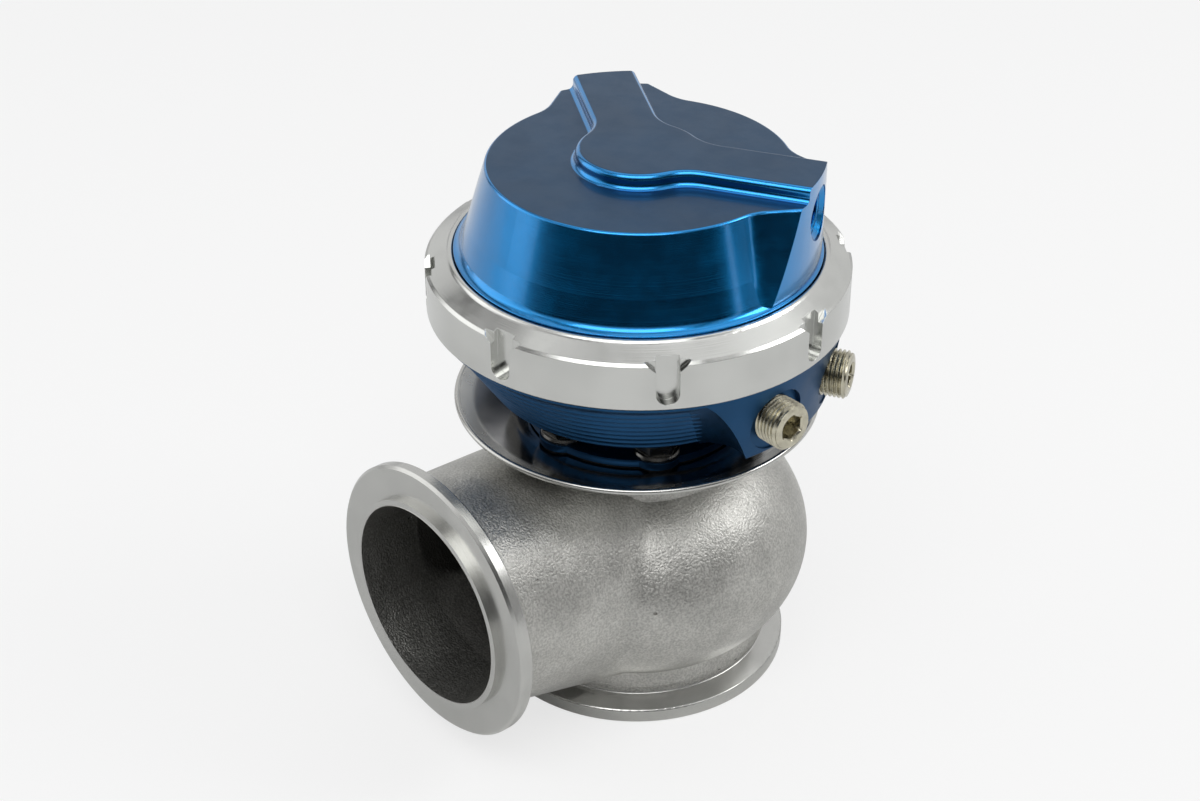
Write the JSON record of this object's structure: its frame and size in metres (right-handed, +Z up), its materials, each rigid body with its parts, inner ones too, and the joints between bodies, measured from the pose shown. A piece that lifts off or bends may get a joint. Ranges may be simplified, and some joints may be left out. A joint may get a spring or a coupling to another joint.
{
  "type": "turbo wastegate",
  "caption": "External turbocharger wastegate: cast valve body with flanged inlet and outlet, heat shield dish, and a domed blue spring actuator clamped by a slotted collar.",
  "frame": {"origin": "centre of the inlet flange's face", "axes": "+Z up along the valve stem from the inlet to the actuator's cap, -Y out of the outlet flange; the two port plugs stand on the +X side"},
  "size_m": [0.0922, 0.1047, 0.1241],
  "materials": {
    "casting": "rough cast surface, machined flange faces",
    "machined_steel": "turned",
    "spring_steel": "dark oiled",
    "valve_steel": "ground",
    "bronze": "turned bronze",
    "seal_rubber": "moulded",
    "shield_steel": "pressed sheet, satin",
    "gasket_fibre": "pressed fibre",
    "fastener_steel": "plain steel",
    "base_blue": "blue anodised, fine turned ridges",
    "plug_nickel": "nickel plated",
    "diaphragm_rubber": "fabric-reinforced",
    "bare_aluminium": "turned",
    "cap_blue": "deep blue anodised, satin",
    "collar_aluminium": "clear anodised, satin"
  },
  "bodies": {
    "housing": {"valve_body": "casting", "seat_ring": "machined_steel", "seat_clip": "spring_steel", "valve_guide": "bronze", "stem_seal": "seal_rubber", "seal_clip": "spring_steel", "heat_shield": "shield_steel", "foot_gasket": "gasket_fibre", "foot_studs": "fastener_steel", "foot_nuts": "fastener_steel", "actuator_base": "base_blue", "port_plug_front": "plug_nickel", "port_plug_side": "plug_nickel", "diaphragm": "diaphragm_rubber"},
    "valve": {"valve": "valve_steel", "piston": "bare_aluminium", "diaphragm_retainer": "bare_aluminium", "piston_washer": "fastener_steel", "stem_nut": "fastener_steel"},
    "cap": {"actuator_cap": "cap_blue", "spring_outer": "spring_steel", "spring_inner": "spring_steel"},
    "collar": {"locking_collar": "collar_aluminium"}
  },
  "joints": [
    {"name": "valve_lift", "type": "slide", "parent": "housing", "child": "valve", "axis": [0, 0, 1], "range_m": [0, 0.012], "stiffness_N_per_m": 3600, "springref_m": -0.005, "deforming": ["spring_outer", "spring_inner", "diaphragm"]},
    {"name": "cap_lift", "type": "slide", "parent": "housing", "child": "cap", "axis": [0, 0, 1], "range_m": [0, 0.006]},
    {"name": "collar_turn", "type": "hinge", "parent": "cap", "child": "collar", "pos_m": [0, 0, 0.0945], "axis": [0, 0, 1], "range_deg": [0, 1080]}
  ],
  "couplings": [
    {"joint": "cap_lift", "follows": "collar_turn", "m_per_rad": 0.00031831}
  ]
}
